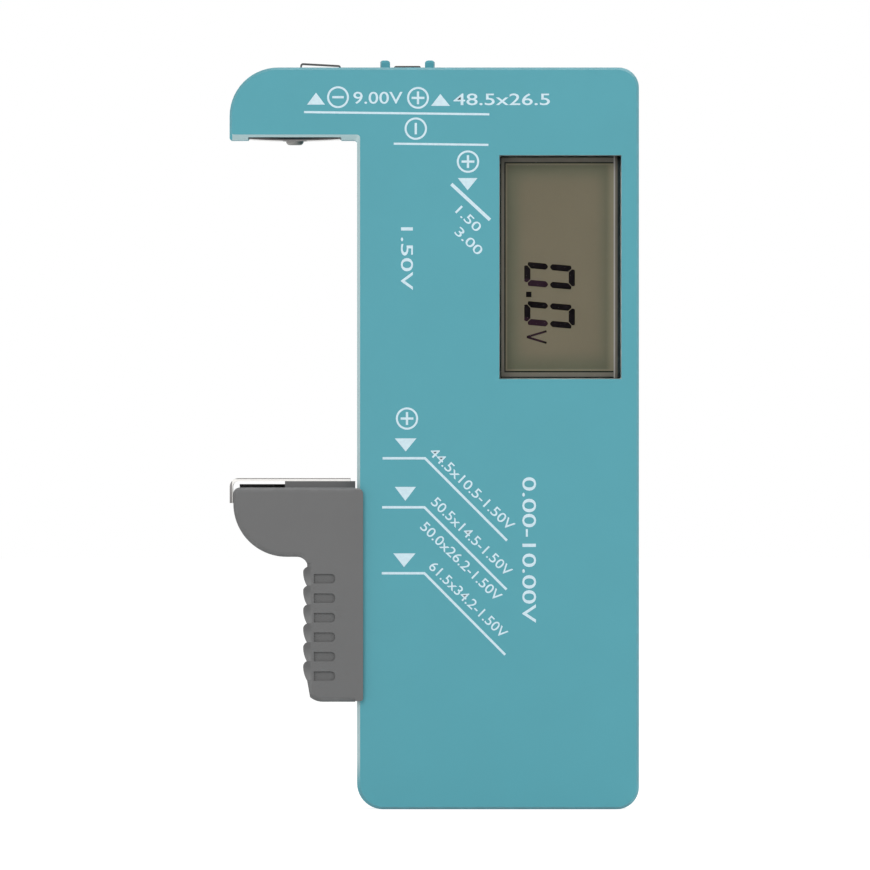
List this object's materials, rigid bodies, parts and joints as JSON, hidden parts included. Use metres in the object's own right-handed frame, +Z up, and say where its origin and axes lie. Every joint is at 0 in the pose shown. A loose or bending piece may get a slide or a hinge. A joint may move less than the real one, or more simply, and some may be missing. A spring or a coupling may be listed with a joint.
{
  "type": "battery tester",
  "caption": "Hand-held battery tester with a C-shaped case, a number display, top contacts for a block battery and a ribbed jaw that slides to hold a round cell.",
  "frame": {"origin": "middle of the case's flat base face, where the tester stands", "axes": "+Z up along the case's length, front face towards -Y, the battery bay and arm on the -X side"},
  "size_m": [0.0607, 0.025, 0.1111],
  "materials": {
    "case_plastic": "satin moulded plastic",
    "slider_plastic": "fine matt moulded plastic",
    "contact_metal": "nickel-plated sheet",
    "lens_clear": "clear moulded pane",
    "mask_dark": "dark thin sheet",
    "display_glass": "grey-green display",
    "holder_plastic": "plain moulded plastic",
    "connector_rubber": "elastic strip",
    "board_laminate": "glass-cloth laminate",
    "screw_steel": "zinc-plated steel",
    "resin_black": "cast resin",
    "ferrite": "ferrite",
    "can_metal": "drawn can",
    "resistor_body": "lacquered body",
    "chip_body": "fired body",
    "rail_brass": "plain strip",
    "lead_red": "soft insulation",
    "lead_black": "soft insulation"
  },
  "bodies": {
    "case": {"front_cover": "case_plastic", "rear_cover": "case_plastic", "case_screws": "screw_steel", "display_lens": "lens_clear", "display_mask": "mask_dark", "display_panel": "display_glass", "display_holder": "holder_plastic", "elastic_connector": "connector_rubber", "circuit_board": "board_laminate", "board_screws": "screw_steel", "controller_blob": "resin_black", "boost_inductor": "ferrite", "smoothing_capacitor": "can_metal", "load_resistors": "resistor_body", "small_parts": "chip_body", "arm_contact": "contact_metal", "nine_volt_negative_contact": "contact_metal", "nine_volt_positive_contact": "contact_metal", "contact_rail": "rail_brass", "positive_lead": "lead_red", "negative_lead": "lead_black", "arm_lead": "lead_black", "rail_lead": "lead_red"},
    "jaw": {"slider": "slider_plastic", "slider_contact": "contact_metal", "slider_wiper": "rail_brass", "wiper_screw": "screw_steel"}
  },
  "joints": [
    {"name": "jaw_slide", "type": "slide", "parent": "case", "child": "jaw", "axis": [0, 0, 1], "range_m": [-0.013, 0.048]}
  ]
}
